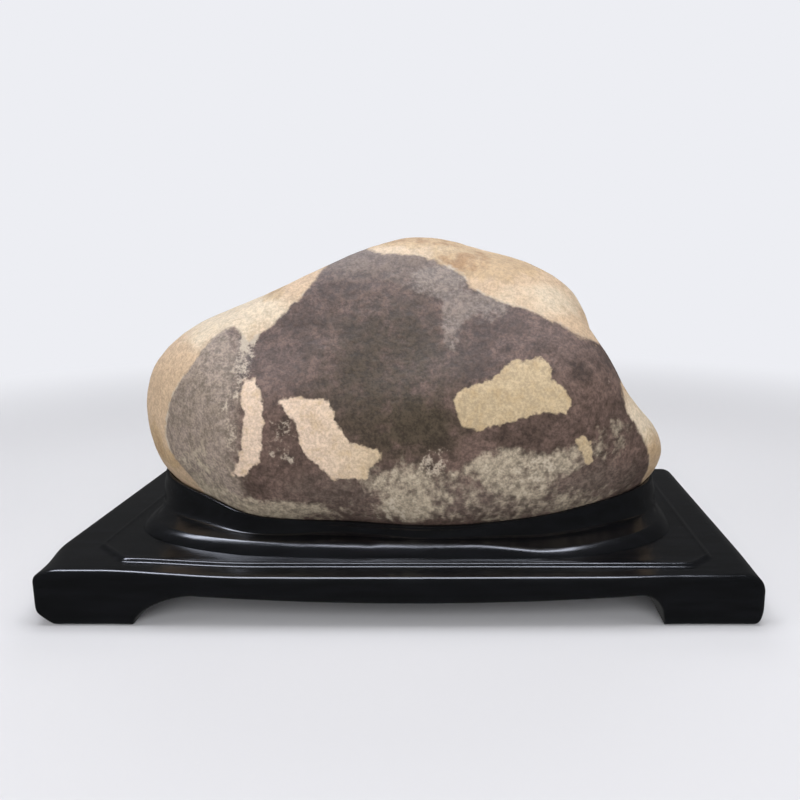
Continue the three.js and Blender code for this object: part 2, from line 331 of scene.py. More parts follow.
@dataclass
class Painter:
    """A material's node tree, its shader, and the patterns that its layers are laid by."""

    tree: bpy.types.NodeTree
    shader: bpy.types.Node
    patterns: dict[str, Socket]

    def gather(self, grains: dict[str, Grain], values: tuple[str, ...] = ()) -> None:
        """Adds patterns to lay by.

        Args:
            grains: the noises, by the names that they get.
            values: the names of values that the mesh holds at each point.
        """
        place = add_node(self.tree, "TexCoord").outputs["Object"]
        for name, grain in grains.items():
            where = add_node(self.tree, "Mapping", {"Vector": place, "Scale": grain.stretch}).outputs[0]
            inputs = {"Vector": where, "Scale": 1 / (grain.length * METRES)}
            inputs |= {"Detail": grain.detail, "Roughness": grain.roughness}
            self.patterns[name] = add_node(self.tree, "TexNoise", inputs).outputs["Fac"]
        for name in values:
            self.patterns[name] = add_node(self.tree, "Attribute", attribute_name=name).outputs["Fac"]

    def weigh(self, weights: dict[str, float], shift: float = 0.0) -> Socket:
        """Adds patterns, each times its weight, and a shift.

        Args:
            weights: the weight of each pattern, by its name.
            shift: a number added to them.

        Returns:
            The sum.
        """
        total: Socket | float = shift
        for name, weight in weights.items():
            inputs = {0: self.patterns[name], 1: weight, 2: total}
            total = add_node(self.tree, "Math", inputs, operation="MULTIPLY_ADD").outputs[0]
        return total

    def share(self, spread: Spread) -> Socket:
        """How much of a layer lies at each point.

        Formula: the spread's weighted sum, turned from its range to 0 and the most by 3t²-2t³.

        Args:
            spread: where the layer lies.

        Returns:
            A share from 0 to the spread's most.
        """
        inputs = {"Value": self.weigh(spread.weights, spread.shift), "To Min": 0.0, "To Max": spread.most}
        inputs |= {"From Min": spread.low, "From Max": spread.high}
        share = add_node(self.tree, "MapRange", inputs, interpolation_type="SMOOTHSTEP").outputs["Result"]
        if spread.within:
            inputs = {0: self.patterns[spread.within], 1: share}
            share = add_node(self.tree, "Math", inputs, operation="MULTIPLY").outputs[0]
        return share

    def lay(self, below: Paint, above: Paint, where: Spread | float, way: str = "MIX") -> Socket:
        """Lays one colour over another.

        Args:
            below: the colour underneath, as a hex colour or a socket.
            above: the colour laid over it.
            where: where the upper colour lies, or one share for the whole surface.
            way: how the upper colour goes on the lower one.

        Returns:
            The two colours as one.
        """
        share = self.share(where) if isinstance(where, Spread) else where
        colours = [linear_colour(c) if isinstance(c, str) else c for c in (below, above)]
        inputs = {0: share, 6: colours[0], 7: colours[1]}
        return add_node(self.tree, "Mix", inputs, data_type="RGBA", blend_type=way).outputs[2]

    def surface(self, colour: Socket, roughness: Socket, relief: Socket, emboss: Emboss) -> None:
        """Gives the shader its colour, its gloss and its relief.

        Args:
            colour: the surface's colour.
            roughness: how matt it is.
            relief: the pattern that stands up from it.
            emboss: how strongly and how high it does.
        """
        inputs = {"Height": relief, "Strength": emboss.strength, "Distance": emboss.height * METRES}
        bump = add_node(self.tree, "Bump", inputs)
        for name, socket in {"Base Color": colour, "Roughness": roughness, "Normal": bump.outputs[0]}.items():
            self.tree.links.new(socket, self.shader.inputs[name])
        self.shader.inputs["IOR"].default_value = 1.5


def new_material(name: str) -> tuple[bpy.types.Material, Painter]:
    """A material with nothing but one shader.

    Args:
        name: the material's name.

    Returns:
        The material and its painter.
    """
    material = bpy.data.materials.new(name)
    material.use_nodes = True
    tree = material.node_tree
    tree.nodes.clear()
    shader = add_node(tree, "BsdfPrincipled")
    add_node(tree, "OutputMaterial", {"Surface": shader.outputs["BSDF"]})
    return material, Painter(tree, shader, {})


# The stone


class Side(Enum):
    """The side of the stone that a marking lies on, as the sign of Y there."""

    FRONT = -1
    BACK = 1


@dataclass(frozen=True)
class Outline:
    """The outline of a marking, drawn as seen straight from its side: X and Z of each point in mm."""

    side: Side
    points: tuple[tuple[float, float], ...]
    # How far past the stone's middle the outline reaches, in mm.
    overlap: float = 12.0

    def depth(self, places: Array) -> Array:
        """How deep each place lies inside the outline, in mm, and below 0 outside it.

        Formula: the distance in X and Z to the nearest edge, with its sign from the count of edges
        that a level ray crosses, and no more than the distance to a plane just past the stone's middle,
        so that outlines on both sides run into each other over the crest and round the ends.

        Args:
            places: an (n, 3) array of points on the stone.

        Returns:
            One depth for each place.
        """
        start = np.array(self.points)
        step = np.roll(start, -1, axis=0) - start
        away = places[:, None, [0, 2]] - start[None]
        share = np.clip(np.sum(away * step, axis=2) / np.sum(step * step, axis=1), 0, 1)
        nearest = np.min(np.linalg.norm(away - share[..., None] * step, axis=2), axis=1)
        end = start + step
        height = places[:, 2, None]
        spans = (start[:, 1] > height) != (end[:, 1] > height)
        slope = step[:, 0] / np.where(step[:, 1] == 0, 1e-9, step[:, 1])
        crossing = start[:, 0] + (height - start[:, 1]) * slope
        inside = np.sum(spans & (places[:, 0, None] < crossing), axis=1) % 2 == 1
        towards_side = self.side.value * places[:, 1]
        return np.minimum(np.where(inside, nearest, -nearest), towards_side + self.overlap)


@dataclass(frozen=True)
class Bloom:
    """A soft-edged area of the surface: its middle and its reach along X and Z, in mm."""

    middle: tuple[float, float]
    reach: tuple[float, float]
    strength: float = 1.0
    side: Side = Side.FRONT

    def weight(self, places: Array) -> Array:
        """Its strength at each place on its side.

        Formula: exp(-r⁴), where r is the distance over the reach, fading out towards the other side.

        Args:
            places: an (n, 3) array of points on the stone.

        Returns:
            One weight for each place.
        """
        away = (places[:, [0, 2]] - np.array(self.middle)) / np.array(self.reach)
        own_side = smooth_step(self.side.value * places[:, 1], -30, 25)
        return self.strength * np.exp(-(np.sum(away**2, axis=1) ** 2)) * own_side


# The purple skin over the stone's front: its upper edge runs from the crest at the left, under the
# cream top, down to the right toe, and its left edge round the grey lobe and up the notch beside it.
PURPLE_SKIN = Outline(
    Side.FRONT,
    (
        *((-57, 229), (-47, 242), (-36, 248), (-26, 242), (-14, 241), (0, 241), (13, 239), (24, 236)),
        *((36, 231), (45, 226), (50, 219), (60, 213), (72, 208), (90, 203), (109, 194), (125, 185)),
        *((141, 178), (152, 176), (162, 165), (160, 154), (156, 150), (158, 141), (161, 131), (165, 125)),
        *((171, 116), (177, 105), (181, 94), (182, 82), (178, 66), (164, 30), (-136, 30), (-148, 70)),
        *((-160, 86), (-170, 100), (-173, 110), (-172, 119), (-168, 132), (-162, 143), (-153, 155)),
        *((-145, 165), (-139, 173), (-133, 181), (-124, 189), (-115, 192), (-111, 188), (-104, 182)),
        *((-96, 187), (-85, 196), (-77, 205), (-69, 211)),
    ),
)

# Cream windows in the purple skin.
CREAM_WINDOWS = (
    Outline(
        Side.FRONT,
        (
            *((-104, 158), (-96, 158), (-92, 149), (-89, 141), (-90, 124), (-91, 112), (-94, 103)),
            *((-99, 100), (-107, 91), (-114, 92), (-109, 103), (-105, 112), (-105, 121), (-103, 129)),
            *((-103, 137), (-105, 147)),
        ),
    ),
    Outline(
        Side.FRONT,
        (
            *((-80, 144), (-77, 147), (-65, 146), (-46, 145), (-43, 138), (-42, 132), (-37, 125)),
            *((-30, 117), (-21, 113), (-14, 113), (-11, 109), (-12, 104), (-19, 100), (-21, 91)),
            *((-32, 92), (-44, 91), (-49, 96), (-60, 106), (-64, 112), (-66, 120), (-67, 127), (-72, 134)),
        ),
    ),
    Outline(
        Side.FRONT,
        (
            *((38, 146), (40, 151), (54, 156), (67, 161), (73, 167), (79, 171), (91, 171), (98, 173)),
            *((103, 168), (104, 159), (112, 153), (114, 147), (118, 142), (114, 135), (103, 137)),
            *((93, 136), (80, 132), (68, 129), (54, 126), (44, 129), (41, 135)),
        ),
    ),
    Outline(
        Side.FRONT,
        ((121, 116), (126, 119), (132, 114), (134, 106), (136, 98), (131, 96), (127, 104)),
    ),
)

# The skin goes on over the crest's left shoulder and round the saddle at the right onto the unseen back.
BACK_SKINS = (
    Outline(
        Side.BACK,
        (
            *((-66, 230), (-50, 246), (-38, 250), (-28, 238), (-16, 226), (-10, 212), (2, 204), (10, 190)),
            *((24, 184), (34, 188), (48, 196), (62, 192), (74, 180), (88, 174), (104, 178), (122, 176)),
            *((138, 182), (154, 181), (168, 170), (170, 156), (158, 148), (160, 134), (148, 122)),
            *((132, 124), (118, 112), (104, 116), (96, 130), (84, 138), (66, 132), (56, 118)),
            *((62, 102), (78, 96), (90, 84), (108, 80), (126, 70), (136, 54), (138, 30), (-36, 30)),
            *((-44, 48), (-60, 58), (-62, 74), (-80, 86), (-78, 100), (-92, 112), (-108, 112)),
            *((-118, 124), (-108, 138), (-92, 140), (-82, 152), (-90, 166), (-84, 180), (-92, 194)),
            *((-84, 208), (-72, 216)),
        ),
    ),
    Outline(
        Side.BACK,
        ((-158, 104), (-150, 118), (-138, 116), (-128, 104), (-132, 88), (-124, 76), (-138, 68), (-150, 82)),
    ),
)

# A cream window in the skin on the back.
BACK_WINDOWS = (
    Outline(
        Side.BACK,
        (
            *((-42, 116), (-34, 132), (-16, 138), (-4, 152), (8, 146), (2, 128), (-8, 122)),
            *((-14, 108), (-30, 106)),
        ),
    ),
)

# Stains, mottles and painted top light with soft edges, each the sum of its blooms.
SOFT_AREAS = {
    "grey_lobe": (
        Bloom((-142, 132), (36, 66)),
        Bloom((-128, 176), (24, 20), 0.3),
        Bloom((-150, 80), (40, 26), 1.0),
    ),
    "tan_mottle": (
        Bloom((4, 80), (22, 26)),
        Bloom((90, 94), (30, 20), 0.95),
        Bloom((44, 92), (28, 14), 0.6),
        Bloom((-26, 96), (16, 16), 0.55),
        Bloom((122, 104), (16, 12), 0.65),
        Bloom((64, 106), (18, 10), 0.65),
        Bloom((-142, 92), (24, 22), 0.7),
        Bloom((60, 66), (60, 16), 0.55),
        Bloom((136, 66), (36, 14), 0.55),
        Bloom((-60, 62), (50, 14), 0.55),
        Bloom((-118, 66), (60, 12), 0.85),
        Bloom((150, 112), (18, 20), 0.55),
        Bloom((30, 100), (34, 26), 0.8, Side.BACK),
        Bloom((120, 84), (26, 20), 0.6, Side.BACK),
        Bloom((-60, 170), (30, 20), 0.5, Side.BACK),
    ),
    "pale_speck": (
        Bloom((-77, 116), (16, 26), 0.8),
        Bloom((-66, 140), (10, 10), 0.5),
        Bloom((28, 106), (13, 18), 0.85),
        Bloom((88, 94), (40, 22), 0.85),
        Bloom((2, 82), (26, 26), 0.8),
        Bloom((-104, 172), (9, 20), 0.9),
        Bloom((-104, 187), (9, 8), 0.9),
        Bloom((-113, 122), (9, 36), 0.7),
        Bloom((-132, 158), (26, 30), 0.4),
        Bloom((144, 150), (22, 34), 0.45),
        Bloom((-60, 62), (60, 14), 0.35),
        Bloom((60, 56), (110, 12), 0.35),
        Bloom((40, 228), (30, 12), 0.5),
        Bloom((34, 118), (26, 24), 0.8, Side.BACK),
        Bloom((-66, 120), (12, 26), 0.7, Side.BACK),
        Bloom((130, 150), (24, 20), 0.5, Side.BACK),
    ),
    "pale_edge": (
        Bloom((-169, 124), (7, 26), 1.0),
        Bloom((-158, 150), (8, 14), 0.5),
        Bloom((44, 226), (20, 16), 0.7),
        Bloom((74, 208), (24, 14), 0.5),
    ),
    "grey_streak": (
        Bloom((34, 228), (22, 6), 1.0),
        Bloom((28, 221), (26, 10), 1.0),
        Bloom((52, 209), (26, 7), 0.9),
        Bloom((38, 200), (11, 11), 0.85),
        Bloom((36, 186), (8, 14), 0.75),
        Bloom((62, 203), (18, 10), 0.7),
        Bloom((-106, 176), (9, 22), 0.9),
        Bloom((-10, 196), (30, 9), 0.8, Side.BACK),
    ),
    # Dusty patches; on the crest these blooms are painted top light, the skin lighter and greyer where light
    # falls from above.
    "dust_and_top_light": (
        Bloom((-10, 246), (84, 26)),
        Bloom((40, 230), (40, 22), 0.6),
        Bloom((-20, 74), (80, 28), 0.6),
        Bloom((110, 74), (74, 34), 0.75),
        Bloom((-10, 240), (70, 30), 0.7, Side.BACK),
    ),
    "olive_heart": (
        Bloom((-8, 158), (52, 58)),
        Bloom((24, 122), (34, 24), 0.5),
        Bloom((110, 68), (70, 18), 0.5),
        Bloom((20, 160), (60, 30), 0.8, Side.BACK),
    ),
    "ochre_stain": (
        Bloom((10, 252), (60, 7), 0.9),
        Bloom((70, 234), (50, 12), 0.8),
        Bloom((40, 240), (20, 12), 0.5),
        Bloom((-94, 214), (10, 6), 0.8),
        Bloom((-186, 104), (9, 16), 0.9),
        Bloom((-172, 92), (12, 8), 0.8),
        Bloom((184, 92), (14, 30), 0.6),
        Bloom((-150, 190), (30, 8), 0.7, Side.BACK),
        Bloom((60, 228), (50, 12), 0.7, Side.BACK),
        Bloom((-120, 70), (30, 20), 0.6, Side.BACK),
    ),
    "pale_cream": (
        Bloom((-130, 200), (60, 24), 0.85),
        Bloom((110, 208), (50, 12), 0.6),
        Bloom((180, 130), (22, 30), 0.9),
        Bloom((28, 243), (50, 8), 0.5),
        Bloom((-150, 150), (40, 50), 0.8, Side.BACK),
        Bloom((20, 226), (60, 16), 0.5, Side.BACK),
    ),
}


@dataclass
class WornStone:
    """A boulder worn to a few soft faces, as the reach of its surface from a point inside it."""

    heart: Place = (0.0, 0.0, 140.0)
    face_sharpness: float = 16.0
    rest_height: float = 38.5
    # Facing, lift and distance of each worn face.
    faces: tuple[tuple[float, float, float], ...] = (
        (180, -12, 208),
        (180, 39, 160),
        (180, 66.5, 107),
        (-60, 86, 121),
        (5, 72, 122),
        (-12, 33, 147),
        (15, 32, 142),
        (0, -16, 220),
        (0, -42, 218),
        (180, -44, 184),
        (0, -90, 104),
        (-92, 33, 85),
        (-90, -4, 97),
        (-90, -43, 114),
        (-124, 0, 140),
        (-58, 2, 140),
        (-132, -38, 152),
        (-48, -38, 152),
        (-125, 42, 128),
        (-55, 45, 122),
        (88, 42, 98),
        (90, -5, 96),
        (90, -42, 118),
        (126, 2, 142),
        (55, -2, 142),
        (132, -38, 152),
        (48, -38, 152),
    )
    # Place, reach and rise of each swelling or hollow.
    swells: tuple[tuple[float, float, float, float, float], ...] = (
        (160, -45, 62, 45, 8),
        (202, 15, 82, 34, 6),
        (166, -4, 150, 30, -18),
        (130, 0, 210, 30, 8),
        (-192, 10, 72, 40, 8),
        (-92, 20, 214, 40, 3),
        (48, -70, 190, 46, -4),
    )
    # Length, heading, climb, height and phase of each slow undulation.
    undulations: tuple[tuple[float, float, float, float, float], ...] = (
        (150, 20, 10, 1.6, 40),
        (118, 75, 35, 1.3, 200),
        (96, -40, 60, 1.1, 110),
        (71, 10, -50, 0.8, 300),
        (58, 120, 20, 0.6, 15),
    )
    # The block whose grid of points is blown up to the surface, and its cells for the stone and the seat.
    block: Place = (410.0, 190.0, 220.0)
    cells: tuple[int, int, int] = (190, 96, 104)
    seat_cells: tuple[int, int, int] = (120, 60, 66)
    # Swell length in mm and depth in mm of the fine wear, each only cut inwards.
    wear: tuple[tuple[float, float], ...] = ((19, 0.8), (8, 0.45), (4, 0.25))
    # The hollows seen in the photograph, worn inwards only: both ends, width and depth.
    hollows: tuple[tuple[Place, Place, float, float], ...] = (
        ((171, -58, 109), (132, -75, 90), 7, 1.6),
        ((-103, -70, 180), (-100, -95, 96), 12, 1.3),
        ((60, -56, 210), (148, -52, 170), 9, 1.0),
    )

    def reach(self, directions: Array) -> Array:
        """How far the smooth surface lies from the heart along unit directions.

        Formula: the soft minimum (Σ max(d·n/h, 0)^k)^(-1/k) over the worn faces, then the swells'
        bells and the undulations' sines at the point that it gives.

        Args:
            directions: an (n, 3) array of unit vectors.

        Returns:
            One distance in mm for each direction.
        """
        facing, lift, distance = np.array(self.faces).T
        shares = np.maximum(directions @ unit_vectors(facing, lift).T / distance, 0)
        worn = np.sum(shares**self.face_sharpness, axis=1) ** (-1 / self.face_sharpness)
        places = np.array(self.heart) + directions * worn[:, None]
        rise = np.zeros(len(directions))
        for x, y, z, breadth, height in self.swells:
            away = np.linalg.norm(places - np.array((x, y, z)), axis=1) / breadth
            rise += height * np.exp(-(away**2))
        for length, heading, climb, height, phase in self.undulations:
            step = unit_vectors(heading, climb) * 2 * np.pi / length
            rise += height * np.sin(places @ step + np.radians(phase))
        return worn + rise

    def section(self, angles: Array, heights: Array) -> Array:
        """The smooth stone's plan radius along plan angles, each at its own height.

        Formula: halves the range of climb from the heart until the surface there has the height.

        Args:
            angles: plan angles in radians.
            heights: heights in mm.

        Returns:
            One plan radius in mm for each angle.
        """
        low = np.full(len(angles), -np.pi / 2)
        high = np.full(len(angles), np.pi / 2)
        for _ in range(30):
            climb = (low + high) / 2
            ways = unit_vectors(np.degrees(angles), np.degrees(climb))
            under = self.heart[2] + self.reach(ways) * ways[:, 2] < heights
            low = np.where(under, climb, low)
            high = np.where(under, high, climb)
        return self.reach(unit_vectors(np.degrees(angles), np.degrees(low))) * np.cos(low)

    def grid(self, cells: tuple[int, int, int]) -> tuple[Array, Array]:
        """Directions and quads of a grid laid over a block and blown up to the stone.

        Each side of the block is a grid on whole-number points, so points that two sides share are
        the same triple of numbers and become one.

        Args:
            cells: how many cells the block has along X, Y and Z.

        Returns:
            An (n, 3) array of unit directions and an (m, 4) array of quads.
        """
        corners = []
        for axis in range(3):
            first, second = (axis + 1) % 3, (axis + 2) % 3
            u, v = np.meshgrid(np.arange(cells[first]), np.arange(cells[second]), indexing="ij")
            for top in (False, True):
                square = np.zeros((u.size, 4, 3), int)
                square[..., axis] = cells[axis] if top else 0
                turn = ((0, 0), (1, 0), (1, 1), (0, 1))
                for k, (du, dv) in enumerate(turn if top else turn[::-1]):
                    square[:, k, first] = u.ravel() + du
                    square[:, k, second] = v.ravel() + dv
                corners.append(square)
        lattice, quads = np.unique(np.concatenate(corners).reshape(-1, 3), axis=0, return_inverse=True)
        block = (lattice / np.array(cells) - 0.5) * np.array(self.block)
        return block / np.linalg.norm(block, axis=1)[:, None], quads.reshape(-1, 4)

    def places(self, directions: Array, skin: float, worn: bool) -> Array:
        """Points of the surface along directions, flat where the stone rests.

        Args:
            directions: an (n, 3) array of unit vectors.
            skin: how much further out than the stone the surface lies, in mm.
            worn: whether the fine wear and the hollows are cut in.

        Returns:
            An (n, 3) array of points in mm.
        """
        reach = self.reach(directions)
        if worn:
            smooth = np.array(self.heart) + directions * reach[:, None]
            reach = reach - self.wear_depth(smooth)
        points = np.array(self.heart) + directions * (reach + skin)[:, None]
        points[:, 2] = np.maximum(points[:, 2], self.rest_height - skin)
        return points

    def wear_depth(self, places: Array) -> Array:
        """How deep the fine wear and the hollows cut at each place.

        Formula: noise of each swell length and a bell across each hollow's line, down to a quarter
        where the seat holds the stone.

        Args:
            places: an (n, 3) array of points on the smooth surface.

        Returns:
            One depth in mm for each place.
        """
        depth = np.zeros(len(places))
        for seed, (length, height) in enumerate(self.wear):
            depth += height * (0.5 + 0.5 * lattice_noise(places, length, 40 + seed))
        for start, end, width, height in self.hollows:
            step = np.array(end, float) - np.array(start, float)
            away = places - np.array(start, float)
            share = np.clip(away @ step / (step @ step), 0, 1)
            distance = np.linalg.norm(away - share[:, None] * step, axis=1)
            depth += height * np.exp(-((distance / width) ** 2))
        return depth * mix(0.25, 1.0, smooth_step(places[:, 2], 50, 85))

    def markings(self, places: Array) -> dict[str, Array]:
        """The values that the claystone finish reads at each point: depths in mm, and soft weights.

        Formula: behind the part that the photograph shows, the outlines are read at places that slow
        noise has shifted, which gives them a worn skin's wandering edges.

        Args:
            places: an (n, 3) array of points on the stone.

        Returns:
            An array of one value for each point, under each marking's name.
        """
        unseen = smooth_step(places[:, 1], -45, -5)
        shift_x = 9 * lattice_noise(places, 34, 60) + 4 * lattice_noise(places, 13, 61)
        shift_z = 9 * lattice_noise(places, 34, 62) + 4 * lattice_noise(places, 13, 63)
        shifted = places + np.stack([shift_x * unseen, 0 * unseen, shift_z * unseen], axis=1)
        skins = [outline.depth(shifted) for outline in (PURPLE_SKIN, *BACK_SKINS)]
        windows = [outline.depth(shifted) for outline in (*CREAM_WINDOWS, *BACK_WINDOWS)]
        values = {"skin_depth": np.max(skins, axis=0), "window_depth": np.max(windows, axis=0)}
        for name, blooms in SOFT_AREAS.items():
            values[name] = np.sum([bloom.weight(places) for bloom in blooms], axis=0)
        return values

    def build(self) -> bpy.types.Object:
        """Makes the stone's mesh and gives it the values that its finish reads.

        Returns:
            The stone.
        """
        directions, quads = self.grid(self.cells)
        places = self.places(directions, 0.0, worn=True)
        piece = mesh_object("worn_stone", places, quads.tolist())
        for name, values in self.markings(places).items():
            attribute = piece.data.attributes.new(name, "FLOAT", "POINT")
            attribute.data.foreach_set("value", values.astype(np.float32))
        piece.data.shade_smooth()
        return piece

    def seat_tool(self, gap: float) -> bpy.types.Object:
        """The stone grown by an even gap, to carve its seat with."""
        directions, quads = self.grid(self.seat_cells)
        return mesh_object("seat_tool", self.places(directions, gap, worn=False), quads.tolist())


@dataclass(frozen=True)
class ClaystoneFinish:
    """Claystone, water-worn and rubbed by hand: matt, with a fine sandy grain and soft-edged stains.

    The purple-brown skin is iron-rich clay, a millimetre or two thick, and the cream body shows where
    the river has worn it through. Edges of the skin are ragged at about the size of the grain.
    """

    # The cream body, from its ground to its deepest stain.
    cream: str = "#ccb193"
    cream_ochre: str = "#b4986f"
    cream_pale: str = "#dacab2"
    stain: str = "#96714a"
    # The worn windows.
    window_pink: str = "#e1c9b3"
    window_yellow: str = "#c4af8e"
    window_dark: str = "#a58c66"
    # The purple skin, with its clouds, its grey lobe and the pale marks on it.
    purple: str = "#745f56"
    purple_dark: str = "#54443c"
    olive: str = "#514639"
    grey: str = "#a8988b"
    grey_dark: str = "#998a7b"
    tan: str = "#bdaf99"
    speck: str = "#bbae9d"
    streak: str = "#998c83"
    # Dusty grey, also the colour of the painted top light on the crest.
    dust_and_top_light: str = "#817268"
    # What the grain's pores multiply the colour by, and how the grain stands up.
    pore: str = "#7a7a7a"
    relief: Emboss = Emboss(0.6, 0.9)

    def material(self) -> bpy.types.Material:
        """The material, from the marking depths and weights that the mesh holds and noise on them.

        Returns:
            The stone's material.
        """
        material, painter = new_material("water_worn_claystone")
        grains = {
            "broad": Grain(70),
            "blotch": Grain(26),
            "ragged": Grain(9, 3, 0.6),
            "clump": Grain(4.4, 2, 0.5),
            "grit": Grain(1.7, 3, 0.65),
        }
        painter.gather(grains, ("skin_depth", "window_depth", *SOFT_AREAS))
        place = add_node(painter.tree, "TexCoord").outputs["Object"]
        painter.patterns["across"] = add_node(painter.tree, "SeparateXYZ", {"Vector": place}).outputs["X"]
        skin_edge = Spread({"skin_depth": 1.0, "ragged": 6.0, "clump": 4.0}, -5.0, -1.3, 1.5)
        window_edge = Spread({"window_depth": 1.0, "ragged": 5.5, "clump": 4.5}, -5.0, -0.9, 1.0)
        colour = painter.lay(self.cream_body(painter), self.purple_skin(painter), skin_edge)
        colour = painter.lay(colour, self.worn_window(painter), window_edge)
        roughness = painter.weigh({"clump": 0.2}, 0.68)
        relief = painter.weigh({"clump": 1.0, "grit": 0.45, "ragged": 0.8})
        painter.surface(colour, roughness, relief, self.relief)
        return material

    def grained(self, painter: Painter, colour: Socket, clump: float, depth: float) -> Socket:
        """A colour with the sandy grain on it: darker in the pores and lighter on the grains.

        Args:
            painter: the material's painter.
            colour: the colour under the grain.
            clump: how much of the grain is clumps, the rest being single grains.
            depth: how dark the pores are, from 0 to 1.

        Returns:
            The grained colour.
        """
        tone = Spread({"clump": clump, "grit": 1 - clump}, 0.0, 0.36, 0.65)
        return painter.lay(colour, painter.lay(self.pore, "#ffffff", tone), depth, "MULTIPLY")

    def cream_body(self, painter: Painter) -> Socket:
        """The cream body's colour: paler on the shoulders, with ochre stains in its hollows.

        Args:
            painter: the material's painter.

        Returns:
            The body's colour.
        """
        stain = {"ochre_stain": 0.7, "broad": 0.6, "ragged": 1.0}
        pale = Spread({"pale_cream": 0.8, "blotch": 1.0}, -0.5, 0.1, 0.7, 0.9)
        colour = painter.lay(self.cream, self.cream_pale, pale)
        colour = painter.lay(colour, self.cream_ochre, Spread(stain, -0.75, 0.15, 0.55, 0.6))
        colour = painter.lay(colour, self.stain, Spread(stain, -0.75, 0.6, 0.95, 0.75))
        return self.grained(painter, colour, 0.4, 0.4)

    def worn_window(self, painter: Painter) -> Socket:
        """The colour of the windows in the skin: pink at the left and yellow at the right.

        Args:
            painter: the material's painter.

        Returns:
            The windows' colour.
        """
        across = Spread({"across": 1.0}, 0.0, -0.07, 0.01)
        dark = Spread({"ragged": 0.6, "clump": 0.4}, 0.0, 0.45, 0.68, 0.5)
        colour = painter.lay(self.window_pink, self.window_yellow, across)
        return self.grained(painter, painter.lay(colour, self.window_dark, dark), 0.4, 0.42)

    def purple_skin(self, painter: Painter) -> Socket:
        """The purple skin's colour: brown to olive, grey lobe, mottles, specks and dusty grey, part painted
        top light.

        Args:
            painter: the material's painter.

        Returns:
            The skin's colour.
        """
        cloud = {"blotch": 0.5, "ragged": 0.5}
        patch = {"blotch": 0.4, "ragged": 0.6}
        lobe = painter.lay(self.grey, self.grey_dark, Spread(patch, 0.0, 0.42, 0.6, 0.85))
        # Dusty grey and painted top light: the skin lighter and greyer towards the crest.
        dust_and_top_light = {"dust_and_top_light": 1.0, "ragged": 0.5, "clump": 0.4}
        grey = {"grey_lobe": 1.0, "ragged": 0.6, "clump": 0.4}
        streak = {"grey_streak": 1.1, "ragged": 1.3, "clump": 1.1}
        mottle = {"tan_mottle": 1.0, "ragged": 1.4, "clump": 0.8}
        layers = (
            (self.purple_dark, Spread(cloud, 0.0, 0.38, 0.62)),
            (self.olive, Spread(cloud, 0.0, 0.3, 0.55, 0.9, "olive_heart")),
            (self.dust_and_top_light, Spread(dust_and_top_light, -0.45, 0.1, 1.1, 0.8)),
            (lobe, Spread(grey, -0.5, 0.1, 0.8, 0.9)),
            (self.streak, Spread(streak, -1.65, 0.0, 0.7, 0.65)),
            (self.tan, Spread(mottle, -1.43, 0.05, 0.75, 0.85)),
        )
        colour = self.purple
        for layer, where in layers:
            colour = painter.lay(colour, layer, where)
        colour = self.grained(painter, colour, 0.45, 0.66)
        fringe = {"pale_edge": 1.0, "skin_depth": -0.45, "clump": 1.0}
        fleck = {"pale_speck": 0.68, "ragged": 1.0, "clump": 0.8, "grit": 0.8}
        colour = painter.lay(colour, self.speck, Spread(fringe, 0.0, 0.4, 1.1, 0.8))
        return painter.lay(colour, self.speck, Spread(fleck, -1.72, 0.13, 0.48, 0.8))


# The stand


@dataclass(frozen=True)
class Foot:
    """A foot of the stand: its inner side and how the rail's underside sweeps down to it."""

    inner: float
    sweep: float
    squareness: float


@dataclass(frozen=True)
class RolledEnd:
    """A rounded end of the board: its top edge, its bottom edge and its front corner seen from above."""

    # Radius of the top edge along most of the end, and near the front.
    above: float
    above_front: float
    # How far in and up the bottom edge is rounded, and by what power.
    below_run: float
    below_rise: float
    below_squareness: float
    # How far the front corner's rounding goes along the end and along the front.
    corner_depth: float
    corner_length: float


